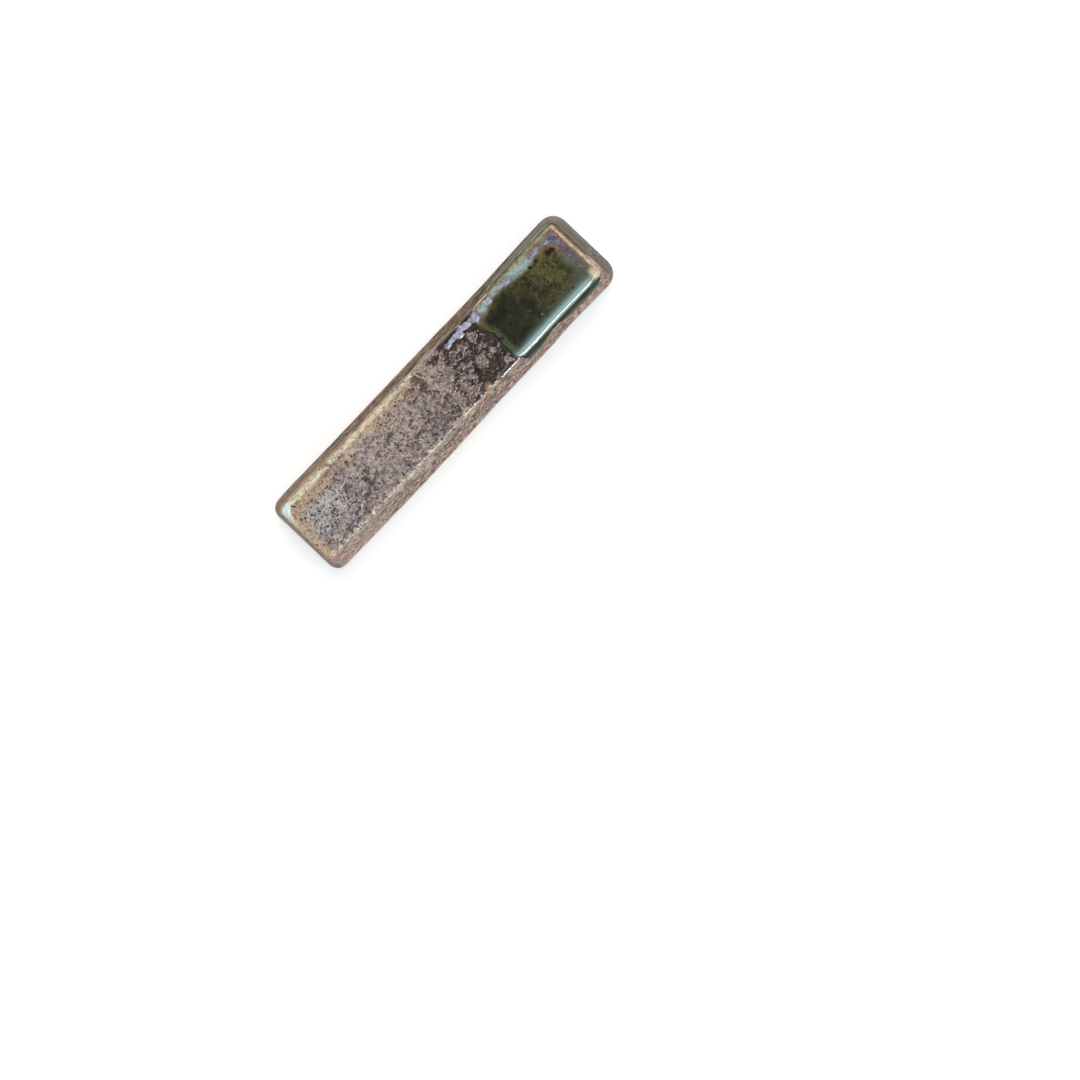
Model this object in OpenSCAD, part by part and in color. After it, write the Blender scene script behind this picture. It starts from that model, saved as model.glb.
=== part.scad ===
// Bar-shaped stoneware chopstick rest with a pool of green glass at one end.
// A solid clay bar with leaning walls, rounded shoulders and a shallow saddle carries
// separate bodies of fired glaze. The bar's skin is one grid of stations and rows, whose
// lines follow the borders of the glazes. Each glaze is a set of the grid's own cells,
// lifted by its thickness along the skin's normal, so that it seats on the clay face to
// face and meets its neighbours edge to edge.
// X runs along the bar towards the green pool, the front is -Y, and Z is 0 at the foot.

/* [Clay bar] */
// Length of the bar at the foot of its walls
bar_len = 65.4; // [54:0.2:80]
// Width of the bar at the foot of its walls, where it is widest
bar_w = 15.3; // [13:0.1:20]
// Height of the clay at the two ends
bar_h = 8.6; // [6:0.2:12]
// Dip of the top at mid-length, where the chopsticks lie
saddle_depth = 0.5; // [0.2:0.1:1.4]
// Length of the dip along the bar
saddle_len = 46; // [30:1:52]
// Inward lean of the two long walls, from foot to shoulder
side_lean = 1.4; // [0.4:0.05:1.8]
// Inward lean of the two end walls, from foot to shoulder
end_lean = 1.2; // [0.4:0.05:1.8]
// Pull-in of a long wall where it is furthest in
waist = 0.4; // [0:0.02:0.6]
// Outward swell of the walls at half height
wall_swell = 0.12; // [0:0.02:0.3]

/* [Edges] */
// Radius of the rounded shoulder between walls and top
shoulder_r = 1.3; // [0.8:0.1:2]
// Radius of the upright corners at the foot of the low end
corner_r = 1.8; // [1.2:0.1:3.5]
// Radius of the upright corners at the foot of the end with the pool
high_corner_r = 2.6; // [1.2:0.1:3.5]
// Height of the bevel round the unglazed foot
foot_bevel_h = 0.45; // [0.2:0.05:1]
// Set-back of the bevel round the unglazed foot
foot_bevel_w = 0.4; // [0.2:0.05:0.9]

/* [Glaze thickness] */
// Thickness of the speckled tan glaze
tan_t = 0.25; // [0.15:0.05:0.6]
// Thickness of the dark crawled glaze
crust_t = 0.3; // [0.15:0.05:0.6]
// Height of the crawled glaze's lumps over its own thickness
crust_lump = 0.3; // [0:0.02:0.4]
// Length of one lump of the crawled glaze
crust_lump_len = 2.3; // [1.6:0.1:4]
// Rise of the green glass over the coat that it borders
pool_rise = 0.4; // [0.3:0.05:1]
// Width of the pool's rounded rim
pool_rim_w = 1.4; // [0.8:0.1:2.5]
// Thickness of the green glass that runs over the front shoulder
run_t = 0.4; // [0.2:0.02:0.6]
// Rise of the milky streaks over the coat that they lie on
streak_rise = 0.15; // [0.05:0.01:0.3]
// Rise of the pale bead over the tan glaze
bead_rise = 0.3; // [0.15:0.05:0.6]
// Thickness of the olive glaze that wraps the end
wrap_t = 0.18; // [0.12:0.02:0.3]
// Thickness left at the feathered edge of a glaze
feather_t = 0.06; // [0.04:0.01:0.1]

/* [Glaze places] */
// Where the tan glaze meets the dark one, from mid-length
crust_x = 0; // [-4:0.5:4]
// Where the dark glaze meets the green pool, from mid-length
pool_x = 11; // [9:0.5:14]
// Furthest drop of the green run below the shoulder
run_drop = 2.6; // [1:0.1:3.2]

/* [Hidden] */

// Steps of the grid along the bar: round an end shoulder, then the three stretches of the top
arc_steps = 5;
tan_steps = 14;
crust_steps = 16;
pool_steps = 22;
// Steps across the bar, in front of the streaks and behind them
centre_steps = 11;
streak_steps = 5;
// Steps down the walls: to the borders of the run and the wrap, and on to the foot
border_steps = 3;
wall_steps = 6;
// Steps of a shoulder that the top glazes cover, and that the end wrap covers
over_steps = 2;
wrap_over_steps = 2;

crust_i = arc_steps + tan_steps;
pool_i = crust_i + crust_steps;
end_i = pool_i + pool_steps;
last_i = end_i + arc_steps;
streak_j = arc_steps + centre_steps;
back_j = streak_j + streak_steps;
last_j = back_j + arc_steps;
low_cover = arc_steps - over_steps;
high_cover = end_i + over_steps;
back_cover = back_j + over_steps;

// Half length and half width of the top inside its shoulders
straight_half = bar_len / 2 - end_lean - shoulder_r;
flat_half = bar_w / 2 - side_lean - shoulder_r;
pool_len = straight_half - pool_x;
crust_len = pool_x - crust_x;
wall_h = bar_h - shoulder_r - foot_bevel_h;

// Pull-in of the front and back walls, from the low end to the high end, in shares of the waist
front_pull_shares = [0.4, 0.3, 0.15, 0, 0, 0.12, 0.35, 0.6, 0.55, 0.55, 0.95, 0.65, 0.6];
back_pull_shares = [0.4, 0.2, 0.35, 0.55, 0.65, 0.7, 0.75, 0.85, 1.0, 1.0, 0.8, 0.65, 0.7];

// Borders across the bar, from front to back: the crust's in shares of its length,
// the pool's in shares of the pool's length
crust_edge_shares = [0.04, -0.06, 0.03, 0.1, 0.0, -0.07, 0.05, 0.11, 0.02, -0.05, 0.04];
pool_edge_shares = [0.13, 0.1, 0.05, 0.045, 0.06, 0.02, 0.03, 0.01, 0.06, 0.13, 0.2];
// Border of the streaks along the bar, in shares of the top's half width
streak_edge_shares = [0.75, 0.75, 0.75, 0.75, 0.75, 0.72, 0.78, 0.68, 0.66, 0.8, 0.7, 0.78, 0.68, 0.62];
// Where the streaks start and end, row by row from front to back, in shares of the length
// from the crust to the high end
streak_span_shares = [
    [[0.28, 0.33], [0.39, 0.43], [0.865, 0.91]],
    [[0.26, 0.44], [0.64, 0.69], [0.83, 0.925]],
    [[0.21, 0.44], [0.505, 0.56], [0.61, 0.69], [0.82, 0.925]],
    [[0.17, 0.42], [0.485, 0.56], [0.605, 0.685], [0.825, 0.91]],
    [[0.18, 0.39], [0.485, 0.545], [0.61, 0.665], [0.845, 0.9]],
    [[0.25, 0.35]]];
// Rows in front of the streaks that the corner streak also crosses, station by station from the end
corner_rows = [5, 3, 0];
// Powers that draw the stations to the low end and to the pool's border, and the rows to
// the streaks' border
low_power = 1.4;
station_power = 1.5;
row_power = 1.3;
// Drop of the run along the front, in shares of its furthest drop
run_drop_shares = [0.15, 0.95, 1.0, 0.72, 0.35, 0.5, 0.75, 0.8, 0.55, 0.3, 0.12];
// Drop of the wrap along the end, front to back, and along the back up to the end,
// in shares of the wall's height
wrap_end_shares = [0.1, 0.42, 0.66, 0.78, 0.72, 0.84, 0.88, 0.8];
wrap_back_shares = [0.1, 0.26, 0.36, 0.52, 0.6, 0.72, 0.8];
plain_drop_share = 0.1;
// Where the wrap starts along the back and across the end, in shares of the grid, and how many
// rows further forward it starts, level by level down the end
wrap_start_share = 0.66;
wrap_front_share = 0.3;
wrap_front_rows = [0, 1, 0, 2];
wrap_i = round(last_i * wrap_start_share);
wrap_j = round(last_j * wrap_front_share);
// The bead's cells along the bar, row by row from the covered corner to the front
bead_cells = [3, 4, 4, 3, 3, 2, 1];
// How far the crawled glaze's second wave is turned against its first, in degrees
lump_turn = 50;

function clamp(value, low, high) = min(max(value, low), high);
function mix(a, b, share) = a + (b - a) * share;
function smooth(share) = let(s = clamp(share, 0, 1)) s * s * (3 - 2 * s);
function rounded(share) = sqrt(1 - pow(1 - clamp(share, 0, 1), 2));

// A table of shares read at any place from 0 to 1, with eased steps between its entries
function along(shares, place) =
    let(at = clamp(place, 0, 1) * (len(shares) - 1), k = min(floor(at), len(shares) - 2))
    mix(shares[k], shares[k + 1], smooth(at - k));

// Borders of the glazes: along the bar at a place across it, and the other way round
function crust_edge_x(place) = crust_x + crust_len * along(crust_edge_shares, place);
function pool_edge_x(place) = pool_x + pool_len * along(pool_edge_shares, place);
function streak_edge_y(place) = flat_half * along(streak_edge_shares, place);

// Stations inside the end shoulders, closer together at the low end and at the pool's border
function station_x(i, place) =
    i <= arc_steps ? -straight_half
    : i <= crust_i ? mix(-straight_half, crust_edge_x(place), pow((i - arc_steps) / tan_steps, low_power))
    : i <= pool_i ? mix(crust_edge_x(place), pool_edge_x(place), (i - crust_i) / crust_steps)
    : i <= end_i ? mix(pool_edge_x(place), straight_half, pow((i - pool_i) / pool_steps, station_power))
    : straight_half;

// Rows inside the long shoulders, closer together at the border of the streaks
function row_y(j, place) =
    j <= arc_steps ? -flat_half
    : j <= streak_j ? mix(streak_edge_y(place), -flat_half, pow((streak_j - j) / centre_steps, row_power))
    : j <= back_j ? mix(streak_edge_y(place), flat_half, (j - streak_j) / streak_steps)
    : flat_half;

// Angle of a shoulder's arc at step k of the last steps, from 0 on the flat to 90 at the wall
function arc_angle(k, last) = 90 * max(0, arc_steps - k, k - last + arc_steps) / arc_steps;
function side_of(k, last) = k < last / 2 ? -1 : 1;

// Half length, half width and corner radius of the bar at share v of its wall, 0 at the foot,
// where side is below 0 for the front or the low end
function swell(v) = wall_swell * 4 * v * (1 - v);
function half_len(v) = bar_len / 2 - end_lean * v + swell(v);
function half_w(x, v, side) = bar_w / 2 - side_lean * v + swell(v)
    - waist * along(side < 0 ? front_pull_shares : back_pull_shares, x / bar_len + 0.5);
function round_r(v, side) = mix(side < 0 ? corner_r : high_corner_r, shoulder_r, v);

// Height of the clay's top at x
function crest(x) = bar_h - saddle_depth * pow(cos(90 * clamp(2 * x / saddle_len, -1, 1)), 2);

// Drop of the border level below the shoulder at an edge point, as a share of the wall's height
function drop_share(i, j) =
    i == last_i ? along(wrap_end_shares, j / last_j)
    : j == last_j && i > wrap_i ? along(wrap_back_shares, (i - wrap_i) / (last_i - wrap_i))
    : j == 0 && i >= pool_i && i <= end_i ?
        max(plain_drop_share, run_drop / wall_h * along(run_drop_shares, (i - pool_i) / pool_steps))
    : plain_drop_share;

function level_share(level, i, j) =
    level <= border_steps ? 1 - drop_share(i, j) * level / border_steps
    : (1 - drop_share(i, j)) * (wall_steps - level) / (wall_steps - border_steps);

// Point i, j of the skin, lifted along its normal. Stations and rows past the top's edge
// go down the walls, one level a step.
function skin_point(i, j, lift) =
    let(ic = clamp(i, 0, last_i), jc = clamp(j, 0, last_j),
        level = max(ic - i, i - ic, jc - j, j - jc),
        v = level == 0 ? 1 : level_share(level, ic, jc),
        r = round_r(v, side_of(ic, last_i)),
        end_turn = arc_angle(ic, last_i),
        inner_len = half_len(v) - r,
        x = station_x(ic, jc / last_j) * inner_len / straight_half
            + side_of(ic, last_i) * r * sin(end_turn),
        row = (row_y(jc, ic / last_i) + side_of(jc, last_j) * shoulder_r * sin(arc_angle(jc, last_j)))
            / (flat_half + shoulder_r),
        inner_w = half_w(x, v, row) - r,
        y = row * (inner_w + r * cos(end_turn)),
        past_x = sign(x) * max(0, abs(x) - inner_len),
        past_y = sign(y) * max(0, abs(y) - inner_w),
        up = level > 0 ? 0 : sqrt(max(0, r * r - past_x * past_x - past_y * past_y)),
        foot_of_arc = crest(x) - shoulder_r,
        z = level > 0 ? mix(foot_bevel_h, foot_of_arc, v) : foot_of_arc + up)
    [x, y, z] + lift / norm([past_x, past_y, up]) * [past_x, past_y, up];

// The walk round the top's edge, with the way down the wall at each point
edge_walk = concat(
    [for (i = [0:last_i - 1]) [i, 0, 0, -1]],
    [for (j = [0:last_j - 1]) [last_i, j, 1, 0]],
    [for (i = [last_i:-1:1]) [i, last_j, 0, 1]],
    [for (j = [last_j:-1:1]) [0, j, -1, 0]]);
ring_count = len(edge_walk);
top_count = (last_i + 1) * (last_j + 1);

// Every grid point's address, and its place in that list
places = concat(
    [for (i = [0:last_i]) for (j = [0:last_j]) [i, j]],
    [for (level = [1:wall_steps]) for (e = edge_walk) [e[0] + e[2] * level, e[1] + e[3] * level]]);
function walk_place(i, j) =
    j == 0 ? i : i == last_i ? last_i + j : j == last_j ? 2 * last_i + last_j - i
    : 2 * (last_i + last_j) - j;
function place_id(i, j) =
    let(ic = clamp(i, 0, last_i), jc = clamp(j, 0, last_j),
        level = max(ic - i, i - ic, jc - j, j - jc))
    level == 0 ? ic * (last_j + 1) + jc : top_count + (level - 1) * ring_count + walk_place(ic, jc);

// Every cell, by its lowest address. The grid is a cross, with nothing past its corners.
cells = [for (i = [-wall_steps:last_i + wall_steps - 1]) for (j = [-wall_steps:last_j + wall_steps - 1])
    if ((i >= 0 && i < last_i) || (j >= 0 && j < last_j)) [i, j]];
function cell_ids(cell) =
    let(i = cell[0], j = cell[1])
    [place_id(i, j), place_id(i, j + 1), place_id(i + 1, j + 1), place_id(i + 1, j)];

// Cells of each glaze
in_top = function(i, j)
    i >= low_cover && i < high_cover && j < back_cover
    && (j >= low_cover || (i >= pool_i && i < end_i && j >= -border_steps));
in_tan = function(i, j) in_top(i, j) && i < crust_i;
in_crust = function(i, j) in_top(i, j) && i >= crust_i && i < pool_i;
in_pool = function(i, j) in_top(i, j) && i >= pool_i;
in_span = function(i, j)
    let(place = (j + 0.5) / last_j, x = (station_x(i, place) + station_x(i + 1, place)) / 2,
        share = (x - crust_x) / (straight_half - crust_x))
    len([for (span = streak_span_shares[j - streak_j]) if (share > span[0] && share < span[1]) 1]) > 0;
in_streak = function(i, j)
    j <= back_j && i < high_cover
    && (i < high_cover - len(corner_rows) ? j >= streak_j && in_span(i, j)
        : j >= streak_j - corner_rows[high_cover - 1 - i]);
in_bead = function(i, j)
    let(row = back_cover - 1 - j)
    row >= 0 && row < len(bead_cells) && i >= low_cover && i < low_cover + bead_cells[row];
in_wrap = function(i, j)
    i < last_i + border_steps && j < last_j + border_steps
    && ((i >= last_i - wrap_over_steps && j >= wrap_j - wrap_front_rows[max(0, i - last_i + 1)])
        || (j >= last_j - wrap_over_steps && i >= wrap_i));

// True where all the cells round a grid point belong to the glaze
function inside(covers, i, j) =
    covers(i - 1, j - 1) && covers(i - 1, j) && covers(i, j - 1) && covers(i, j);

// The crawled glaze's lumps: two crossed waves
function lumps(x, y) =
    let(turn = 360 / crust_lump_len, across = x * cos(lump_turn) + y * sin(lump_turn))
    sin(turn * x) * sin(turn * y) + sin(turn * across) * sin(turn * (y - x));

// Thickness of the glaze on the top at a grid point. One surface runs over the tan glaze, the
// crust's lumps and the pool's rise. The streaks and the bead lie on it.
function top_lift(i, j) =
    !inside(in_top, i, j) ? feather_t
    : let(p = skin_point(i, j, 0), place = clamp(j / last_j, 0, 1),
        from_crust = (p[0] - crust_edge_x(place)) / crust_len,
        coat = mix(tan_t, crust_t, smooth(2 * from_crust)),
        lump = crust_lump * sin(180 * clamp((i - crust_i) / crust_steps, 0, 1)) * lumps(p[0], p[1]) / 2,
        from_low = p[0] - pool_edge_x(place),
        from_high = skin_point(high_cover, j, 0)[0] - p[0],
        from_back = skin_point(i, back_cover, 0)[1] - p[1],
        rise = pool_rise * rounded(min(from_low, from_high, from_back) / pool_rim_w),
        on_top = smooth((p[1] + flat_half + shoulder_r) / shoulder_r))
    i > pool_i ? mix(run_t, coat + rise, on_top) : coat + max(lump, 0);
function streak_lift(i, j) = top_lift(i, j) + (inside(in_streak, i, j) ? streak_rise : feather_t);
function bead_lift(i, j) = top_lift(i, j) + (inside(in_bead, i, j) ? bead_rise : feather_t);
function wrap_lift(i, j) = inside(in_wrap, i, j) ? wrap_t : feather_t;

// Faces of a quad, split the same way wherever the grid is used
function split(q) = [[q[0], q[1], q[2]], [q[0], q[2], q[3]]];
function turned(q) = [[q[0], q[2], q[1]], [q[0], q[3], q[2]]];
function ring_faces(low, high) = [for (k = [0:ring_count - 1]) each
    let(next = (k + 1) % ring_count) split([low + k, high + k, high + next, low + next])];

// The clay: top, walls, bevel and flat foot as one closed skin
module clay_skin() {
    foot = [for (e = edge_walk)
        let(p = skin_point(e[0] + e[2] * wall_steps, e[1] + e[3] * wall_steps, -foot_bevel_w))
        [p[0], p[1], 0]];
    foot_start = len(places);
    hub = foot_start + ring_count;
    polyhedron(
        points = concat([for (p = places) skin_point(p[0], p[1], 0)], foot, [[0, 0, 0]]),
        faces = concat(
            [for (cell = cells) each split(cell_ids(cell))],
            ring_faces(foot_start, foot_start - ring_count),
            [for (k = [0:ring_count - 1]) [hub, foot_start + k, foot_start + (k + 1) % ring_count]]));
}

// A glaze: the cells that it covers, closed between its seat and its face. A cell's edge
// with no other cell running along it the other way is on the rim, and gets a side.
module glaze_skin(covers, seat_lift, face_lift) {
    quads = [for (cell = cells) if (covers(cell[0], cell[1])) cell_ids(cell)];
    count = len(places);
    edges = [for (q = quads) for (k = [0:3]) q[k] * count + q[(k + 1) % 4]];
    rim = [for (e = edges)
        let(from = floor(e / count), to = e % count)
        if (len(search(to * count + from, edges)) == 0) [from, to]];
    polyhedron(
        points = concat(
            [for (p = places) skin_point(p[0], p[1], seat_lift(p[0], p[1]))],
            [for (p = places) skin_point(p[0], p[1], face_lift(p[0], p[1]))]),
        faces = concat(
            [for (q = quads) each turned(q)],
            [for (q = quads) each split([for (id = q) id + count])],
            [for (e = rim) each
                let(a = e[0], b = e[1])
                a < b ? [[b + count, a + count, a], [b + count, a, b]]
                    : [[b + count, a + count, b], [a + count, a, b]]]));
}

module clay_body() {
    color("#9c877a") clay_skin();
}

module tan_glaze_field() {
    color("#a08c84") glaze_skin(in_tan, function(i, j) 0, function(i, j) top_lift(i, j));
}

module iron_glaze_crust() {
    color("#46332e") glaze_skin(in_crust, function(i, j) 0, function(i, j) top_lift(i, j));
}

module green_glass_pool() {
    color("#4b4e30") glaze_skin(in_pool, function(i, j) 0, function(i, j) top_lift(i, j));
}

module milky_glaze_streaks() {
    color("#8f9bb4")
        glaze_skin(in_streak, function(i, j) top_lift(i, j), function(i, j) streak_lift(i, j));
}

module celadon_corner_bead() {
    color("#cdebe4")
        glaze_skin(in_bead, function(i, j) top_lift(i, j), function(i, j) bead_lift(i, j));
}

module olive_end_wrap() {
    color("#6f6b55") glaze_skin(in_wrap, function(i, j) 0, function(i, j) wrap_lift(i, j));
}

clay_body();
tan_glaze_field();
iron_glaze_crust();
green_glass_pool();
milky_glaze_streaks();
celadon_corner_bead();
olive_end_wrap();
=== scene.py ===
from contextlib import contextmanager
import math

import bpy
import numpy as np
from mathutils import Matrix, Vector, kdtree, noise


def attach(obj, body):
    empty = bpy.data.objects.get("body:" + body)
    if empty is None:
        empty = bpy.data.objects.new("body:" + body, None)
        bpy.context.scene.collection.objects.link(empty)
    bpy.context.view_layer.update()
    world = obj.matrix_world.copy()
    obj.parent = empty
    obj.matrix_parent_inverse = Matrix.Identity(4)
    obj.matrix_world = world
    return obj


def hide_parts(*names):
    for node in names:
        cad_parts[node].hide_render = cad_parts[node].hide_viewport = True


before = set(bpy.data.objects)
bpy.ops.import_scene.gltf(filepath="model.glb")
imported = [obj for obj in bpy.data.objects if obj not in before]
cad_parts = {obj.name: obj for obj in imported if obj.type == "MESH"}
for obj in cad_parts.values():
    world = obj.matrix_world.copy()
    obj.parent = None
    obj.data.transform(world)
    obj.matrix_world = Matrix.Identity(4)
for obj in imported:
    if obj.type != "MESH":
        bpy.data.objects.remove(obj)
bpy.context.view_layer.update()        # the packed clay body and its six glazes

MM = 0.001               # the drawings are in millimetres, the scene is in metres


# Studio
REACH = 0.6              # from the camera to the table, in metres
LEAN_X, LEAN_Y = math.radians(4.797), math.radians(2.645)    # off straight down, along X and along -Y
TARGET = (-6.743 * MM, -27.122 * MM, 0)
ROLL = math.radians(-46.506)             # the bar lies slantwise in the picture
FOCAL_LENGTH, SENSOR = 126.14, 36
LAMPS = [                # name, place, size, power, colour, lights things, is mirrored in gloss
    ("key", (0.28, 0.34, 0.64), (0.55, 0.55), 3.8, (1.0, 0.985, 0.96), True, False),
    ("window", (0.02, -0.30, 0.52), (0.60, 0.36), 1.3, (0.9, 0.98, 1.0), True, True),
    ("strip", (0.04, -0.42, 0.315), (0.60, 0.08), 3.8, (0.98, 1.0, 1.0), False, True)]
MIDDLE = (0, 0, 0.004)   # what the lamps look at
WHITE, PAPER, PAPER_GLOW = (1, 1, 1, 1), (0.72, 0.72, 0.72, 1), 0.48
ROOM_LIGHT, OVERHEAD = 0.27, 0.1         # what lights things, and what gloss sees above


def aim(thing, place, target, roll=0.0):
    """Puts a camera or lamp at a place, looking at a target, turned about its own line of sight."""
    ahead = (Vector(target) - Vector(place)).normalized()
    right = ahead.cross(Vector((0, 1, 0))).normalized()
    up = right.cross(ahead)
    across = math.cos(roll) * right + math.sin(roll) * up
    upward = -math.sin(roll) * right + math.cos(roll) * up
    turn = Matrix((across, upward, -ahead)).transposed().to_4x4()
    thing.matrix_world = Matrix.Translation(place) @ turn


def place_in_scene(name, data):
    """A new object of some data, in the scene."""
    thing = bpy.data.objects.new(name, data)
    bpy.context.scene.collection.objects.link(thing)
    return thing


def set_camera():
    """The camera of the product shot: almost straight down."""
    east, south = REACH * math.sin(LEAN_X), -REACH * math.sin(LEAN_Y)
    lens = bpy.data.cameras.new("shot")
    lens.sensor_width = SENSOR
    lens.lens = FOCAL_LENGTH
    lens.clip_start = 0.01
    camera = place_in_scene("shot", lens)
    aim(camera, (east, south, math.sqrt(REACH ** 2 - east ** 2 - south ** 2)), TARGET, ROLL)
    bpy.context.scene.camera = camera


def set_lamp(name, place, size, power, colour, lights, mirrored):
    """A rectangular softbox that looks at the middle of the bar."""
    lamp = bpy.data.lights.new(name, "AREA")
    lamp.shape = "RECTANGLE"
    lamp.size, lamp.size_y = size
    lamp.energy = power
    lamp.color = colour
    box = place_in_scene(name, lamp)
    box.visible_diffuse, box.visible_glossy = lights, mirrored
    aim(box, place, MIDDLE)


def wire(tree, kind, inputs=None, **settings):
    """Adds a shader node, sets its options, and sets or links its inputs."""
    made = tree.nodes.new(kind)
    for key, value in settings.items():
        setattr(made, key, value)
    for key, value in (inputs or {}).items():
        socket = made.inputs[key]
        if isinstance(value, bpy.types.NodeSocket):
            tree.links.new(value, socket)
        else:
            socket.default_value = value
    return made


def maths(tree, kind, a, b=0.0, clamp=False):
    """One step of arithmetic on two values."""
    return wire(tree, "ShaderNodeMath", {0: a, 1: b}, operation=kind, use_clamp=clamp).outputs[0]


def fade(tree, value, low, high, start=0.0, end=1.0):
    """A soft step from start to end as the value goes from low to high."""
    return wire(tree, "ShaderNodeMapRange",
                {"Value": value, "From Min": low, "From Max": high, "To Min": start, "To Max": end},
                interpolation_type="SMOOTHSTEP").outputs["Result"]


def tone(colour):
    """A display colour, 0 to 255, as the linear one that shaders take. Anything else stays as it is."""
    def linear(level):
        level /= 255
        return level / 12.92 if level <= 0.04045 else ((level + 0.055) / 1.055) ** 2.4
    if isinstance(colour, tuple) and len(colour) == 3:
        return (*map(linear, colour), 1.0)
    return colour


def seen_share(tree):
    """1 for rays that see a thing, also in a mirror or through glass, and 0 for the light that it gives."""
    path = tree.nodes.new("ShaderNodeLightPath").outputs
    both = maths(tree, "MAXIMUM", path["Is Camera Ray"], path["Is Glossy Ray"])
    return maths(tree, "MAXIMUM", both, path["Is Transmission Ray"])


def set_floor():
    """A plain white floor that keeps the soft shadow."""
    bpy.ops.object.select_all(action="DESELECT")
    bpy.ops.mesh.primitive_plane_add(size=3, location=(0, 0, 0))
    floor = bpy.context.object
    floor.name = "floor"
    paper = bpy.data.materials.new("white_floor")
    paper.use_nodes = True
    tree = paper.node_tree
    tree.nodes.clear()
    base = wire(tree, "ShaderNodeBsdfDiffuse", {"Color": PAPER})
    lift = maths(tree, "MULTIPLY", seen_share(tree), PAPER_GLOW)
    glow = wire(tree, "ShaderNodeEmission", {"Color": WHITE, "Strength": lift})
    both = wire(tree, "ShaderNodeAddShader", {0: base.outputs[0], 1: glow.outputs[0]})
    wire(tree, "ShaderNodeOutputMaterial", {"Surface": both.outputs[0]})
    floor.data.materials.append(paper)


def set_world():
    """An even room: white round the horizon, paler grey overhead, and a plain level of light."""
    room = bpy.data.worlds.new("studio")
    bpy.context.scene.world = room
    room.use_nodes = True
    tree = room.node_tree
    tree.nodes.clear()
    way = tree.nodes.new("ShaderNodeTexCoord").outputs["Generated"]
    height = wire(tree, "ShaderNodeSeparateXYZ", {0: way}).outputs["Z"]
    dome = fade(tree, height, 0.2, 0.75, 1.0, OVERHEAD)
    level = wire(tree, "ShaderNodeMix", {0: seen_share(tree), 2: ROOM_LIGHT, 3: dome}).outputs[0]
    sky = wire(tree, "ShaderNodeBackground", {"Color": WHITE, "Strength": level})
    wire(tree, "ShaderNodeOutputWorld", {"Surface": sky.outputs[0]})


set_camera()
set_world()
set_floor()
for lamp in LAMPS:
    set_lamp(*lamp)


# Shared effects
def start_group(name, values, output):
    """An empty effect that takes the place and some values, and gives one value."""
    tree = bpy.data.node_groups.new(name, "ShaderNodeTree")
    tree.interface.new_socket(name="Place", in_out="INPUT", socket_type="NodeSocketVector")
    for label in values:
        tree.interface.new_socket(name=label, in_out="INPUT", socket_type="NodeSocketFloat")
    tree.interface.new_socket(name=output, in_out="OUTPUT", socket_type="NodeSocketFloat")
    return tree, tree.nodes.new("NodeGroupInput").outputs, tree.nodes.new("NodeGroupOutput").inputs[output]


def scaled(tree, place, rate):
    """A place times a number."""
    return wire(tree, "ShaderNodeVectorMath", {0: place, "Scale": rate}, operation="SCALE").outputs[0]


def both_of(tree, kind, a, b):
    """One step of arithmetic on two places."""
    return wire(tree, "ShaderNodeVectorMath", {0: a, 1: b}, operation=kind).outputs[0]


def drawn_out(tree, given):
    """The place in cells that are Along by Across millimetres, drawn out along the bar."""
    long_rate = maths(tree, "DIVIDE", 1.0, given["Along"])
    cross_rate = maths(tree, "DIVIDE", 1.0, given["Across"])
    rates = wire(tree, "ShaderNodeCombineXYZ", {0: long_rate, 1: cross_rate, 2: cross_rate}).outputs[0]
    return both_of(tree, "MULTIPLY", given["Place"], rates)


def make_specks():
    """Ragged round specks, each with its own size."""
    tree, given, made = start_group("specks", ("Spacing", "Reach", "Share", "Ragged"), "Mask")
    unit = scaled(tree, given["Place"], maths(tree, "DIVIDE", 1.0, given["Spacing"]))
    wobble = wire(tree, "ShaderNodeTexNoise", {"Vector": unit, "Scale": 2.3, "Detail": 2.0})
    centred = both_of(tree, "SUBTRACT", wobble.outputs["Color"], (0.5, 0.5, 0.5))
    warped = both_of(tree, "ADD", unit, scaled(tree, centred, given["Ragged"]))
    cell = wire(tree, "ShaderNodeTexVoronoi", {"Vector": warped, "Scale": 1.0})
    luck = wire(tree, "ShaderNodeSeparateColor", {0: cell.outputs["Color"]})
    size = fade(tree, luck.outputs[0], 0.0, 1.0, 0.4, 1.0)
    reach = maths(tree, "MULTIPLY", size, given["Reach"])
    inner = maths(tree, "MULTIPLY", reach, 0.6)
    spot = fade(tree, cell.outputs["Distance"], inner, reach, 1.0, 0.0)
    kept = maths(tree, "LESS_THAN", luck.outputs[1], given["Share"])
    tree.links.new(maths(tree, "MULTIPLY", spot, kept), made)
    return tree


def make_brushing():
    """Streaks drawn out along the bar."""
    tree, given, made = start_group("brushing", ("Along", "Across", "Wander"), "Value")
    grain = wire(tree, "ShaderNodeTexNoise", {"Vector": drawn_out(tree, given), "Scale": 1.0, "Detail": 4.0,
                                              "Roughness": 0.6, "Distortion": given["Wander"]})
    tree.links.new(grain.outputs["Fac"], made)
    return tree


def make_mottle():
    """Soft clouds of a given size, sharpened by Contrast."""
    tree, given, made = start_group("mottle", ("Size", "Contrast", "Wander"), "Value")
    unit = scaled(tree, given["Place"], maths(tree, "DIVIDE", 1.0, given["Size"]))
    cloud = wire(tree, "ShaderNodeTexNoise", {"Vector": unit, "Scale": 1.0, "Detail": 5.0,
                                              "Roughness": 0.62, "Distortion": given["Wander"]})
    half = maths(tree, "DIVIDE", 0.5, given["Contrast"])
    low, high = maths(tree, "SUBTRACT", 0.5, half), maths(tree, "ADD", 0.5, half)
    tree.links.new(fade(tree, cloud.outputs["Fac"], low, high), made)
    return tree


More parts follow.
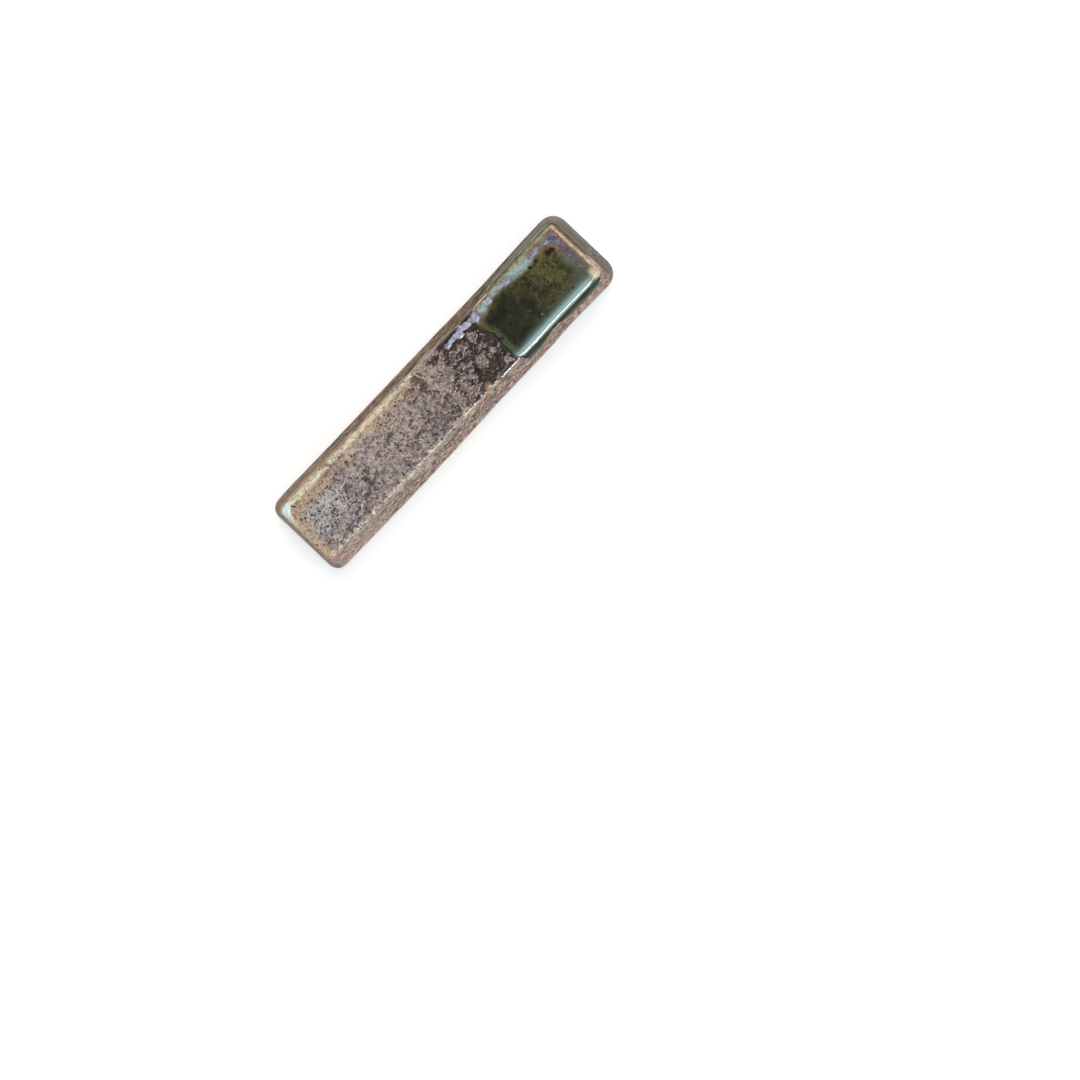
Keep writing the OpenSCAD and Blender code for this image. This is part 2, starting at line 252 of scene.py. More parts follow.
def make_grooves():
    """Thin wandering lines, drawn out along the bar, with gaps."""
    tree, given, made = start_group("grooves", ("Along", "Across", "Width"), "Mask")
    drawn = drawn_out(tree, given)
    field = wire(tree, "ShaderNodeTexNoise",
                 {"Vector": drawn, "Scale": 1.0, "Detail": 2.0, "Roughness": 0.5, "Distortion": 1.5})
    middle = maths(tree, "ABSOLUTE", maths(tree, "SUBTRACT", field.outputs["Fac"], 0.5))
    line = fade(tree, middle, 0.0, given["Width"], 1.0, 0.0)
    gaps = wire(tree, "ShaderNodeTexNoise", {"Vector": drawn, "Scale": 0.7, "Detail": 1.0})
    tree.links.new(maths(tree, "MULTIPLY", line, fade(tree, gaps.outputs["Fac"], 0.4, 0.6)), made)
    return tree


SPECKS, BRUSHING, MOTTLE, GROOVES = make_specks(), make_brushing(), make_mottle(), make_grooves()


class Glaze:
    """A material in the making: its tree, its place in millimetres, and its finished shader."""

    def __init__(self, name):
        self.material = bpy.data.materials.new(name)
        self.material.use_nodes = True
        self.tree = self.material.node_tree
        self.tree.nodes.clear()
        self.place = scaled(self.tree, self.tree.nodes.new("ShaderNodeTexCoord").outputs["Object"], 1 / MM)
        self.x, self.y, self.z = wire(self.tree, "ShaderNodeSeparateXYZ", {0: self.place}).outputs

    def drawn(self, *names):
        """Values that the modelling left on the surface."""
        return [wire(self.tree, "ShaderNodeAttribute", attribute_name=name).outputs["Fac"] for name in names]

    def effect(self, group, **values):
        """Places a shared effect with its own values."""
        return wire(self.tree, "ShaderNodeGroup", {"Place": self.place, **values}, node_tree=group).outputs[0]

    def specks(self, spacing, reach, share, ragged):
        return self.effect(SPECKS, Spacing=spacing, Reach=reach, Share=share, Ragged=ragged)

    def brushing(self, along, across, wander):
        return self.effect(BRUSHING, Along=along, Across=across, Wander=wander)

    def mottle(self, size, contrast, wander=0.0):
        return self.effect(MOTTLE, Size=size, Contrast=contrast, Wander=wander)

    def grooves(self, along, across, width):
        return self.effect(GROOVES, Along=along, Across=across, Width=width)

    def turn(self):
        """From here on, streaks are drawn across the bar."""
        self.place = wire(self.tree, "ShaderNodeMapping",
                          {"Vector": self.place, "Rotation": (0, 0, math.pi / 2)}).outputs[0]

    def fade(self, value, low, high, start=0.0, end=1.0):
        return fade(self.tree, value, low, high, start, end)

    def size(self, value):
        """How large a value is, whatever its sign."""
        return maths(self.tree, "ABSOLUTE", value)

    def times(self, first, *others):
        for other in others:
            first = maths(self.tree, "MULTIPLY", first, other)
        return first

    def plus(self, first, *others, clamp=False):
        for other in others:
            first = maths(self.tree, "ADD", first, other, clamp)
        return first

    def over(self, share, under, above):
        """Lays one colour over another by a share."""
        return wire(self.tree, "ShaderNodeMix", {0: share, 6: tone(under), 7: tone(above)},
                    data_type="RGBA").outputs[2]

    def layers(self, colour, *coats):
        """Lays coats over a colour. Each is one or more shares, which are multiplied, and then its colour."""
        for *shares, above in coats:
            colour = self.over(self.times(*shares), colour, above)
        return colour

    def fire(self, colour, roughness, coat=0.0, coat_roughness=0.05, ior=1.5, shine=0.5, bumps=()):
        """Finishes the material. Bumps are pairs of a height value and its height in millimetres."""
        normal = None
        for height, depth in bumps:
            values = {"Height": height, "Distance": depth * MM, "Strength": 1.0}
            if normal:
                values["Normal"] = normal
            normal = wire(self.tree, "ShaderNodeBump", values).outputs["Normal"]
        shader = wire(self.tree, "ShaderNodeBsdfPrincipled",
                      {"Base Color": colour, "Roughness": roughness, "IOR": ior, "Specular IOR Level": shine,
                       "Coat Weight": coat, "Coat Roughness": coat_roughness})
        if normal:
            self.tree.links.new(normal, shader.inputs["Normal"])
        wire(self.tree, "ShaderNodeOutputMaterial", {"Surface": shader.outputs[0]})
        return self.material


# Modelling steps
MERGED = 0.002           # vertices nearer to each other than this are one
RIM_ANGLE, SMOOTH_ANGLE = 50, 55    # rims are sharper than the first, and shade sharp above the second
WEIGHT_STEPS = 50
BORDER = 0.4             # spare sheet round a drop's outline
SHEET_HEIGHT = 12        # where a drop's sheet starts, above all the coats
SUNK = 0.015             # how far the sheet lies in the coat under it
DROP_EDGE = 0.12         # how thick the sheet is


def alone(piece):
    """Deselects everything, then selects this one piece and makes it active."""
    bpy.ops.object.select_all(action="DESELECT")
    piece.select_set(True)
    bpy.context.view_layer.objects.active = piece


@contextmanager
def editing(piece):
    """Edit mode for one piece."""
    alone(piece)
    bpy.ops.object.mode_set(mode="EDIT")
    yield
    bpy.ops.object.mode_set(mode="OBJECT")


def choose_none(kind):
    """Clears the choice, and chooses by vertex, edge or face from here on."""
    bpy.ops.mesh.select_mode(type=kind)
    bpy.ops.mesh.select_all(action="DESELECT")


def join(pieces):
    """Joins several pieces into the first."""
    alone(pieces[0])
    for piece in pieces:
        piece.select_set(True)
    bpy.ops.object.join()
    return pieces[0]


def cast(node, name):
    """A copy of a solid, with its loose triangles merged and paired into the skin's cells."""
    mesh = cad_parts[node].data.copy()
    mesh.name = name
    mesh.materials.clear()
    piece = place_in_scene(name, mesh)
    with editing(piece):
        bpy.ops.mesh.select_all(action="SELECT")
        bpy.ops.mesh.customdata_custom_splitnormals_clear()
        bpy.ops.mesh.remove_doubles(threshold=MERGED * MM)
        bpy.ops.mesh.tris_convert_to_quads(face_threshold=math.pi, shape_threshold=math.pi)
    return piece


def crease_sharp(piece, degrees=RIM_ANGLE, shortest=0.1):
    """Keeps the rims of a glaze crisp when its skin is rounded, and lets the corners of its outline round."""
    with editing(piece):
        choose_none("EDGE")
        bpy.ops.mesh.edges_select_sharp(sharpness=math.radians(degrees))
    spots = piece.data.vertices
    for edge in piece.data.edges:
        if (spots[edge.vertices[1]].co - spots[edge.vertices[0]].co).length < shortest * MM:
            edge.select = False
    with editing(piece):
        bpy.ops.transform.edge_crease(value=1.0)


def finish_step(piece, kind, **settings):
    """Adds a modifier and applies it."""
    alone(piece)
    step = piece.modifiers.new(kind.lower(), kind)
    for key, value in settings.items():
        setattr(step, key, value)
    bpy.ops.object.modifier_apply(modifier=step.name)


def halve_long_cells(piece, longest):
    """Cuts the cells that are long along the bar, so that fine relief has vertices to move."""
    with editing(piece):
        choose_none("EDGE")
    spots = piece.data.vertices
    for edge in piece.data.edges:
        span = spots[edge.vertices[1]].co - spots[edge.vertices[0]].co
        if abs(span.x) > longest * MM and abs(span.x) > 3 * abs(span.y):
            edge.select = True
    with editing(piece):
        bpy.ops.mesh.subdivide(number_cuts=1, smoothness=0)


def round_skin(piece, levels=3):
    """Rounds the skin's cells into one smooth surface."""
    finish_step(piece, "SUBSURF", levels=levels, render_levels=levels)


def spots_of(piece):
    """Every vertex's place in millimetres, and its normal."""
    count = len(piece.data.vertices)
    place, normal = np.empty(count * 3, np.float32), np.empty(count * 3, np.float32)
    piece.data.vertices.foreach_get("co", place)
    piece.data.vertex_normals.foreach_get("vector", normal)
    return place.reshape(-1, 3) / MM, normal.reshape(-1, 3)


def weigh(piece, name, weights):
    """A vertex group from a weight for each vertex, in even steps."""
    group = piece.vertex_groups.new(name=name)
    steps = np.rint(np.clip(weights, 0, 1) * WEIGHT_STEPS).astype(int)
    for step in np.unique(steps):
        if step:
            group.add(np.nonzero(steps == step)[0].tolist(), float(step) / WEIGHT_STEPS, "REPLACE")


def shift(piece, name, weights, depth, direction="NORMAL"):
    """Moves the vertices by up to a depth in millimetres, each by its weight."""
    weigh(piece, name, weights)
    finish_step(piece, "DISPLACE", vertex_group=name, direction=direction, strength=depth * MM, mid_level=0.0)


def press(piece, group, kind, size, depth, level, stops=(), **look):
    """Raises or sinks one group's vertices by a texture, whose size is in millimetres along X, Y and Z."""
    texture = bpy.data.textures.new(piece.name + "_" + kind.lower(), kind)
    texture.noise_scale = 1.0
    for key, value in look.items():
        setattr(texture, key, value)
    if stops:
        texture.use_color_ramp = True
        ramp = texture.color_ramp
        while len(ramp.elements) < len(stops):
            ramp.elements.new(0.5)
        for element, (position, height) in zip(ramp.elements, stops):
            element.position = position
            element.color = (height, height, height, 1)
    marker = place_in_scene("marker", None)
    marker.scale = [length * MM for length in size]
    bpy.context.view_layer.update()
    finish_step(piece, "DISPLACE", texture=texture, texture_coords="OBJECT", texture_coords_object=marker,
                vertex_group=group, strength=depth * MM, mid_level=level)
    bpy.data.objects.remove(marker)
    bpy.data.textures.remove(texture)


def note(piece, **noted):
    """Leaves named values, one for each vertex, on the surface for the glaze to read."""
    for name, values in noted.items():
        layer = piece.data.attributes.new(name, "FLOAT", "POINT")
        layer.data.foreach_set("value", np.asarray(values, np.float32))


def moved_share(piece, before, normal, low, high):
    """How far the surface has moved, from 0 at low to 1 at high, in millimetres."""
    moved = ((spots_of(piece)[0] - before) * normal).sum(axis=1)
    return np.clip((moved - low) / (high - low), 0, 1)


def ease(value, low, high):
    """The soft step of the shaders, for arrays."""
    share = np.clip((value - low) / (high - low), 0, 1)
    return share * share * (3 - 2 * share)


def inside_by(outline, x, y):
    """How far each point lies inside a closed outline, in millimetres, and below 0 outside it."""
    corners = np.array(outline, float)
    ends = np.roll(corners, -1, axis=0)
    nearest = np.full(len(x), 1e9)
    crossings = np.zeros(len(x), int)
    for (ax, ay), (bx, by) in zip(corners, ends):
        length = (bx - ax) ** 2 + (by - ay) ** 2
        share = np.clip(((x - ax) * (bx - ax) + (y - ay) * (by - ay)) / length, 0, 1)
        nearest = np.minimum(nearest, np.hypot(x - ax - share * (bx - ax), y - ay - share * (by - ay)))
        if ay != by:
            crossings += ((ay > y) != (by > y)) & (x < (bx - ax) * (y - ay) / (by - ay) + ax)
    return np.where(crossings % 2 == 1, nearest, -nearest)


def inside_spots(spots, x, y):
    """How far each point lies inside the nearest of some round spots, given as x, y and radius."""
    return np.max([radius - np.hypot(x - spot_x, y - spot_y) for spot_x, spot_y, radius in spots], axis=0)


def distance_to(spots, places):
    """How far each place is from the nearest of some spots."""
    tree = kdtree.KDTree(len(spots))
    for number, spot in enumerate(spots):
        tree.insert(spot, number)
    tree.balance()
    return np.array([tree.find(place)[2] for place in places])


def ripple(x, y, size, layer=0.37):
    """An uneven value from -1 to 1 at each point, in soft spots of a given size."""
    return np.array([noise.noise((a / size, b / size, layer)) for a, b in zip(x, y)])


def lay_drop(name, outline, ground, rise, cell, ragged, grain):
    """One drop of glaze laid on the coats: a fine sheet trimmed to its outline, settled on what is
    under it, crowned towards its middle, and closed below."""
    corners = np.array(outline, float)
    low, high = corners.min(axis=0) - BORDER, corners.max(axis=0) + BORDER
    counts = np.ceil((high - low) / cell).astype(int)
    middle = (low + high) / 2 * MM
    bpy.ops.object.select_all(action="DESELECT")
    bpy.ops.mesh.primitive_grid_add(x_subdivisions=int(counts[0]), y_subdivisions=int(counts[1]), size=1,
                                    location=(middle[0], middle[1], SHEET_HEIGHT * MM))
    drop = bpy.context.object
    drop.name = name
    drop.scale = ((high[0] - low[0]) * MM, (high[1] - low[1]) * MM, 1)
    bpy.ops.object.transform_apply(location=True, rotation=False, scale=True)
    mesh = drop.data
    with editing(drop):
        choose_none("FACE")
    x, y = np.array([face.center[:2] for face in mesh.polygons]).T / MM
    depth = inside_by(outline, x, y) + ragged * ripple(x, y, grain) + 0.5 * ragged * ripple(x, y, grain / 3)
    mesh.polygons.foreach_set("select", depth < 0)
    with editing(drop):
        bpy.ops.mesh.delete(type="FACE")
        bpy.ops.mesh.select_mode(type="VERT")
        bpy.ops.mesh.select_non_manifold(use_wire=False, use_boundary=False, use_multi_face=False,
                                         use_non_contiguous=False, use_verts=True)
        bpy.ops.mesh.edge_split(type="VERT")
        bpy.ops.mesh.select_all(action="DESELECT")
        bpy.ops.mesh.select_non_manifold()
        bpy.ops.mesh.vertices_smooth(factor=0.5, repeat=4)
    rim = [spot.co.copy() for spot in mesh.vertices if spot.select]
    reach = distance_to(rim, [spot.co for spot in mesh.vertices]) / MM
    weigh(drop, "crown", ease(reach, -0.12, 0.42))
    finish_step(drop, "SHRINKWRAP", target=ground, wrap_method="PROJECT", use_project_z=True,
                use_negative_direction=True, use_positive_direction=False, offset=-SUNK * MM)
    finish_step(drop, "DISPLACE", vertex_group="crown", direction="Z", strength=rise * MM, mid_level=0.0)
    finish_step(drop, "SMOOTH", factor=0.5, iterations=2)
    finish_step(drop, "SOLIDIFY", thickness=DROP_EDGE * MM, offset=-1)
    return drop


def lay_drops(name, outlines, ground, **how):
    """Several drops as one piece."""
    piece = join([lay_drop(name, outline, ground, **how) for outline in outlines])
    piece.name = piece.data.name = name
    return piece


def joined_copy(name, meshes):
    """One surface of several meshes, to measure from or to settle drops on."""
    return join([place_in_scene(name, mesh.copy()) for mesh in meshes])


def settle(piece, node, material):
    """Gives a finished piece its glaze and its place in the part."""
    alone(piece)
    bpy.ops.object.shade_smooth_by_angle(angle=math.radians(SMOOTH_ANGLE))
    piece.data.materials.append(material)
    piece.vertex_groups.clear()
    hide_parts(node)
    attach(piece, "root")
    return piece


# Tones that more than one glaze shows
OLIVE_CLAY = (52, 48, 36), (106, 98, 76)
END_CLAY = (72, 62, 52), (138, 126, 106)
TAN = (136, 122, 126), (222, 196, 174)
TAN_GRAIN = (122, 100, 90)


# Clay body: the cell of its skin, and how deep the brushing of the back and of the front goes
CLAY_CELL, BACK_DEPTH, FRONT_DEPTH = 0.184, 0.26, 0.28


def fired_clay():
    g = Glaze("fired_clay")
    cut, = g.drawn("cut")
    grain, fine = g.brushing(4.0, 0.32, 1.0), g.brushing(1.1, 0.3, 1.6)
    patch, nicks = g.mottle(2.4, 2.6, 0.6), g.grooves(1.3, 0.7, 0.1)
    back = g.fade(g.y, -1.5, 1.5)
    # The front wall is painted much paler than the back wall: partly the clay's own colour, partly painted
    # light, lighter in front and darker behind
    front = g.layers(
        g.over(g.fade(fine, 0.46, 0.54), (124, 92, 81), (255, 229, 213)),
        (patch, 0.35, (206, 174, 158)),
        (nicks, 0.85, (72, 50, 46)),
        (g.fade(cut, 0.4, 0.05, 0.0, 0.8), (92, 70, 62)),
        (g.plus(g.fade(g.x, 24.0, 27.5), g.fade(g.x, -19.0, -22.0), clamp=True),
         g.fade(fine, 0.4, 0.6, 0.15, 0.5), (244, 209, 194)),
        (g.fade(g.x, 10.0, 13.0), g.fade(g.x, 24.0, 21.0), 0.16, (84, 64, 52)))
    olive = g.fade(g.x, 6.0, 20.0, 0.0, 0.85)
    rear = g.layers(
        g.over(olive, (72, 54, 44), OLIVE_CLAY[0]),
        (g.fade(grain, 0.45, 0.55), g.over(olive, (146, 120, 98), OLIVE_CLAY[1])),
        (g.fade(fine, 0.5, 0.58), 0.6, g.over(olive, (184, 158, 130), (126, 112, 90))),
        (nicks, 0.7, (40, 30, 24)),
        (g.fade(cut, 0.4, 0.05, 0.0, 0.7), (50, 38, 32)),
        (g.fade(g.x, -16.0, -24.0, 0.0, 0.2), (206, 184, 162)))
    low_end = g.layers(
        g.over(patch, (172, 150, 144), (142, 122, 116)),
        (g.fade(fine, 0.5, 0.64), 0.5, (96, 80, 74)))
    high_end = g.over(g.fade(fine, 0.44, 0.56), *END_CLAY)
    burnt = g.over(g.fade(fine, 0.46, 0.54), (52, 36, 30), (188, 144, 118))
    # The shoulders are paler than the walls, most of all on the low half of the back
    broad = g.times(g.fade(g.z, 6.3, 7.3), back, g.fade(g.x, 6.0, 2.0))
    shoulder = g.plus(g.fade(g.z, 7.0, 7.9), g.times(broad, g.fade(fine, 0.4, 0.6, 0.5, 1.0)), clamp=True)
    pale = g.layers(
        g.over(patch, (222, 198, 170), (180, 152, 128)),
        (nicks, 0.8, (92, 66, 54)))
    cream = g.over(g.fade(fine, 0.44, 0.56), (104, 92, 64), (172, 168, 136))
    amber = g.layers(
        g.over(g.fade(grain, 0.45, 0.55), (84, 46, 32), (196, 150, 112)),
        (g.plus(g.fade(g.x, 14.0, 18.0, 0.0, 0.8), g.fade(patch, 0.5, 1.0, 0.0, 0.2), clamp=True), cream))
    low_corner = g.times(g.fade(g.x, -28.8, -30.6), g.fade(g.y, -3.6, -5.6))
    colour = g.layers(
        g.over(back, front, rear),
        (g.fade(g.x, -31.0, -31.7), low_end),
        (g.fade(g.x, 31.0, 31.7), g.fade(g.y, -6.9, -5.9), high_end),
        (g.fade(g.x, 28.6, 30.2), g.fade(g.y, -4.6, -5.6), g.mottle(0.9, 3.0, 1.2), burnt),
        (shoulder, 0.85, g.over(g.times(g.fade(g.x, 4.0, 9.0), back), pale, amber)),
        (low_corner, shoulder, g.mottle(0.7, 2.6), (204, 150, 108)),
        (g.fade(g.z, 0.5, 0.25), g.over(fine, (186, 160, 138), (150, 124, 106))))
    return g.fire(colour, g.fade(cut, 0.0, 1.0, 0.75, 0.55), shine=0.3,
                  bumps=[(fine, 0.05), (grain, 0.04), (nicks, -0.05)])


def make_clay():
    piece = cast("clay_body", "clay_bar")
    crease_sharp(piece, 40, shortest=0.0)
    round_skin(piece, 1)
    finish_step(piece, "REMESH", mode="VOXEL", voxel_size=CLAY_CELL * MM, use_smooth_shade=True)
    # Only the clay that no glaze covers is brushed and pitted
    glazes = sorted(set(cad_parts) - {"clay_body"})
    cover = joined_copy("cover", [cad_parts[node].data for node in glazes])
    weigh(piece, "bare", np.ones(len(piece.data.vertices)))
    finish_step(piece, "VERTEX_WEIGHT_PROXIMITY", vertex_group="bare", target=cover,
                proximity_mode="GEOMETRY", proximity_geometry={"FACE"}, min_dist=0.05 * MM, max_dist=0.6 * MM)
    bpy.data.objects.remove(cover)
    bare = np.zeros(len(piece.data.vertices))
    number = piece.vertex_groups["bare"].index
    for spot in piece.data.vertices:
        for share in spot.groups:
            if share.group == number:
                bare[spot.index] = share.weight
    place, normal = spots_of(piece)
    wall = bare * ease(place[:, 2], 0.1, 2.4)
    back = ease(place[:, 1], -1.5, 1.5)
    ends = ease(np.abs(place[:, 0]), 31.0, 32.0) * (np.abs(normal[:, 0]) > 0.6)
    weigh(piece, "back", wall * back * (1 - 0.7 * ends))
    weigh(piece, "front", wall * (1 - back) * (1 - 0.7 * ends))
    press(piece, "back", "CLOUDS", (3.2, 0.55, 0.5), BACK_DEPTH, 1.0, noise_depth=3, contrast=2.4)
    press(piece, "front", "CLOUDS", (1.2, 0.5, 0.36), FRONT_DEPTH, 1.0, noise_depth=3, contrast=2.6)
    note(piece, cut=moved_share(piece, place, normal, -0.24, -0.04))
    return settle(piece, "clay_body", fired_clay())


# Tan glaze
WAVE_DEPTH, PIT_DEPTH, CRACK_DEPTH = 0.16, 0.14, 0.1
CRACKS = [
    ((-20.3, -2.95), (-19.6, -2.7), (-18.9, -2.3), (-17.9, -1.8)),
    ((-17.1, -1.9), (-16.2, -1.3), (-14.9, -1.1)),
    ((-11.8, 0.6), (-10.6, 1.2), (-9.5, 1.4)),
    ((-18.2, -0.4), (-17.3, -1.1)),
    ((-22.9, -3.3), (-22.4, -3.1))]


def speckled_tan():
    g = Glaze("speckled_tan")
    pit, crack = g.drawn("pit", "crack")
    sweep, haze = g.mottle(2.0, 2.2, 0.8), g.mottle(0.7, 4.0, 1.5)
    # How far a spot is from the middle line, and from the middle of the bar towards the low end
    side = g.plus(g.size(g.y), g.fade(g.y, -1.0, -4.0, 0.0, -1.2), g.fade(g.y, 1.0, 3.6, 0.0, 1.0),
                  g.fade(sweep, 0, 1, -0.7, 0.7))
    low_end = g.plus(g.times(g.x, -1.0), g.fade(sweep, 0, 1, -0.6, 0.6))
    shore = g.plus(g.fade(side, 3.2, 5.1), g.fade(low_end, 28.0, 29.9), clamp=True)
    crowd = g.fade(shore, 0.4, 1.0, 1.0, 0.25)
    end_rim = g.layers(
        g.over(g.fade(g.y, -1.0, -4.0), (226, 210, 182), (232, 190, 146)),
        (g.mottle(0.5, 3.4, 0.9), 0.4, (156, 122, 98)))
    dots, nicks = g.specks(0.62, 0.48, 0.75, 0.9), g.grooves(0.9, 0.45, 0.07)
    colour = g.layers(
        g.over(g.mottle(0.6, 3.4, 0.8), *TAN),
        (g.times(g.fade(low_end, 15.0, 26.0), g.fade(side, 3.8, 1.6)),
         g.fade(g.mottle(0.5, 3.0, 0.8), 0, 1, 0.4, 0.9),
         g.over(g.mottle(0.5, 3.4, 0.8), (176, 174, 186), (240, 236, 232))),
        (shore, g.over(g.mottle(0.7, 3.2, 0.9), (172, 130, 102), (236, 206, 174))),
        (g.mottle(0.28, 3.0, 0.5), 0.4, TAN_GRAIN),
        (g.fade(g.mottle(0.34, 4.0, 0.8), 0.6, 1.0), 0.45, (236, 220, 202)),
        # The rims, where the glaze is thin; the pale streaks of the front rim are also a painted highlight
        (g.fade(g.y, 4.5, 5.0), g.over(g.mottle(0.8, 2.8), (240, 212, 172), (255, 250, 228))),
        (g.fade(g.y, -4.6, -5.0), g.over(g.mottle(0.55, 4.0, 1.0), (178, 138, 114), (255, 242, 222))),
        (g.fade(g.x, -30.0, -30.5), end_rim),
        # Specks, pits and cracks
        (g.specks(0.55, 0.46, 0.5, 0.8), 0.75, (212, 194, 180)),
        (haze, crowd, g.fade(g.y, 0.0, -3.5, 0.3, 0.85), (94, 78, 88)),
        (g.specks(1.05, 0.56, 0.5, 1.4), crowd, 0.8, (62, 50, 66)),
        (dots, g.fade(crowd, 0.0, 0.6), 0.9, (38, 28, 38)),
        (g.specks(0.4, 0.54, 0.6, 0.7), crowd, 0.85, (52, 42, 46)),
        (g.specks(0.9, 0.3, 0.5, 0.5), 0.95, (48, 34, 30)),
        (g.fade(pit, 0.6, 0.1), (34, 26, 28)),
        (crack, 0.85, (56, 38, 42)),
        (nicks, g.fade(side, 4.3, 4.9), 0.75, (104, 74, 60)),
        # A fair patch, a dim one, and the dark clouds where the crawled glaze begins
        (g.fade(g.x, -17.5, -16.0), g.fade(g.x, -11.0, -13.0), 0.1, (206, 196, 190)),
        (g.times(g.fade(g.x, -22.5, -21.0), g.fade(g.x, -18.0, -19.5)), g.times(haze, 0.5), (84, 72, 80)),
        (g.fade(g.x, -8.0, 0.0), g.fade(g.mottle(1.0, 3.4, 1.2), 0.2, 1.0), (66, 48, 44)))
    rough = g.over(dots, (0.34, 0.34, 0.34, 1), (0.5, 0.5, 0.5, 1))
    return g.fire(colour, rough, coat=g.fade(g.y, -4.6, -5.0, 0.45, 0.7), coat_roughness=0.17,
                  bumps=[(haze, 0.03), (g.mottle(0.5, 1.4), 0.12), (dots, -0.08), (nicks, -0.05)])


def make_tan():
    piece = cast("tan_glaze_field", "tan_glaze")
    crease_sharp(piece)
    halve_long_cells(piece, 2.2)
    halve_long_cells(piece, 1.4)
    round_skin(piece)
    place, normal = spots_of(piece)
    face = (normal[:, 2] > 0.2) * ease(place[:, 0], -30.8, -30.1) * ease(1.0 - place[:, 0], 0.2, 1.4) \
        * ease(5.55 - np.abs(place[:, 1]), 0.0, 0.5)
    weigh(piece, "face", face)
    press(piece, "face", "CLOUDS", (0.9, 0.9, 0.9), WAVE_DEPTH, 0.5, noise_depth=2)
    before = spots_of(piece)[0]
    press(piece, "face", "VORONOI", (1.15, 1.15, 1.15), PIT_DEPTH, 1.0,
          stops=[(0.0, 0.0), (0.1, 0.2), (0.2, 1.0), (1.0, 1.0)])
    note(piece, pit=moved_share(piece, before, normal, -0.11, 0.0))
    x, y = before[:, 0], before[:, 1]
    near = np.full(len(place), 9.0)
    for line in CRACKS:
        for step in zip(line, line[1:]):
            near = np.minimum(near, -inside_by(step, x, y))
    width = 0.28 + 0.5 * ripple(x, y, 0.7) + 0.2 * ripple(x, y, 0.25)
    crack = ease(width - near, -0.1, 0.12) * face
    shift(piece, "sunk", crack, -CRACK_DEPTH, "Z")
    note(piece, crack=crack)
    return settle(piece, "tan_glaze_field", speckled_tan())


# Crawled glaze, and the outlines of the streaks that lie on it and on the pool
STREAKS = [
    [(5.3, 3.9), (5.6, 4.5), (6.4, 4.7), (7.3, 4.7), (8.1, 4.8), (9.1, 4.9), (9.8, 4.9), (10.7, 4.9),
     (11.6, 4.9), (12.7, 4.8), (13.1, 4.3), (13.1, 3.8), (12.7, 3.3), (12.0, 3.3), (11.6, 3.6), (11.0, 3.7),
     (10.4, 3.7), (10.0, 3.75), (9.6, 4.0), (9.4, 3.9), (9.4, 3.5), (9.1, 3.3), (8.4, 3.5), (7.9, 3.7),
     (7.3, 3.8), (6.6, 3.7), (5.8, 3.6)],
    [(14.7, 4.75), (15.3, 4.9), (15.9, 4.8), (16.4, 4.6), (16.3, 4.0), (15.9, 3.8), (15.3, 3.7),
     (14.8, 4.0), (14.5, 4.4)],
    [(18.0, 4.7), (18.6, 4.8), (19.5, 4.8), (20.3, 4.7), (20.7, 4.5), (20.5, 4.1), (19.8, 4.0), (19.1, 4.0),
     (18.3, 4.1), (17.8, 4.3)],
    [(24.4, 4.5), (25.1, 4.7), (25.9, 4.85), (26.9, 4.7), (27.4, 4.3), (26.8, 4.0), (26.0, 3.85),
     (25.1, 3.9), (24.5, 4.2)],
    [(27.8, 4.5), (28.7, 4.7), (29.5, 4.6), (30.1, 4.1), (30.2, 3.1), (30.3, 1.9), (30.35, 0.3),
     (30.35, -1.5), (30.3, -3.0), (29.9, -3.1), (29.8, -2.0), (29.6, -0.7), (29.0, 0.0), (29.0, 1.3),
     (29.1, 2.5), (28.8, 3.5), (28.2, 3.8), (27.3, 3.9)]]
# Round spots: x, y and radius
BUMP = (6.0, -4.9, 0.9)
LUMPS = [(9.95, 2.6, 0.7), (9.5, 1.8, 0.5), (7.25, 2.2, 0.75), (8.4, 2.0, 0.4), (7.6, 1.2, 0.4),
         (9.85, 0.5, 0.5), (10.5, 1.8, 0.35), (8.35, -1.3, 0.95), (7.75, -1.9, 0.7), (9.1, -0.9, 0.6),
         (10.3, -1.6, 0.5), (11.3, -4.2, 0.75), (8.56, -4.95, 0.45), (5.5, 0.1, 0.8), (6.7, -0.4, 0.45),
         (5.3, -2.1, 0.6), (5.9, -1.2, 0.4), (4.8, -3.6, 0.6), (6.1, 2.7, 0.5), (5.2, 1.9, 0.45),
         (12.0, -1.6, 0.3), (4.3, -1.1, 0.5)]
OLIVE_SPOTS = [(7.0, -2.9, 0.42), (8.2, -3.6, 0.5), (7.8, -3.1, 0.26)]
CURD_RISE, HOLLOW_DEPTH, HEM_RISE, BUMP_RISE = 0.2, 0.1, 0.4, 0.2
HEM_Y = 5.24             # the front hem rounds over beyond this distance from the middle line


